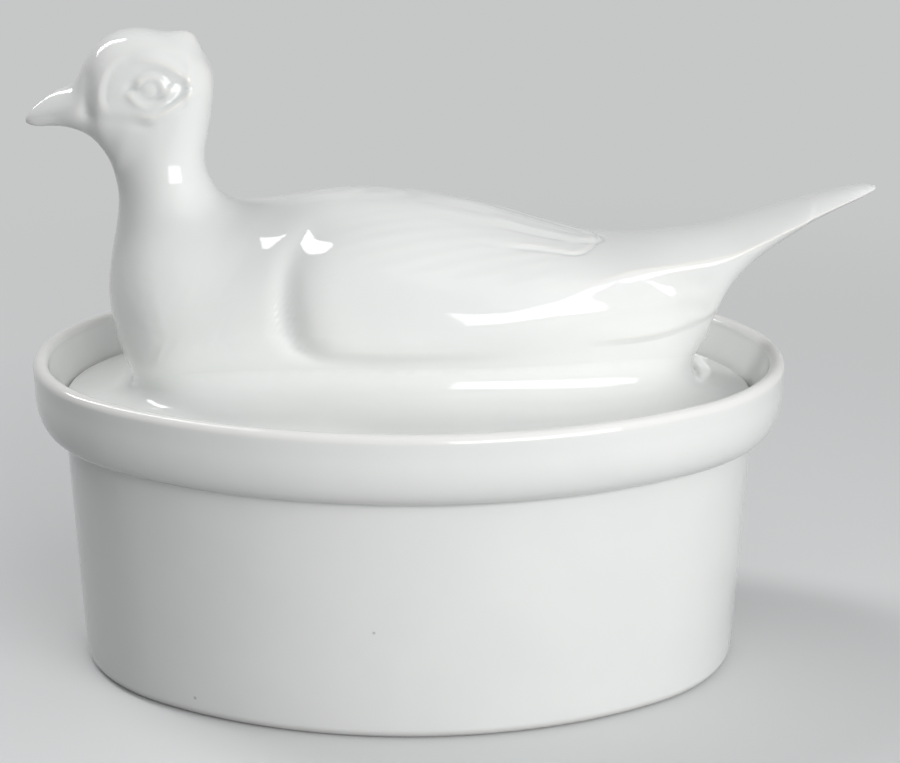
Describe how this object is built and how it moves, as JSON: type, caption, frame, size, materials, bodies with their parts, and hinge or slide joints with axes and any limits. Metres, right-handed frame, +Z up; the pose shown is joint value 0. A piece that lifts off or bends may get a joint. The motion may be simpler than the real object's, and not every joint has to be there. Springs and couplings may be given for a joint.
{
  "type": "covered casserole dish",
  "caption": "Deep oval oven dish with a standing rim band and a drop-in lid shaped as a sitting game bird, whose hollow body covers the food.",
  "frame": {"origin": "middle of the foot ring, on the surface the dish stands on", "axes": "+Z up; the bird looks along -X and its tail points along +X; the XZ plane is the mirror plane"},
  "size_m": [0.3222, 0.226, 0.2462],
  "materials": {
    "glazed_porcelain": "glossy clear glaze over white porcelain; the foot ring is unglazed and matt"
  },
  "bodies": {
    "root": {"dish": "glazed_porcelain", "lid": "glazed_porcelain"}
  },
  "joints": []
}
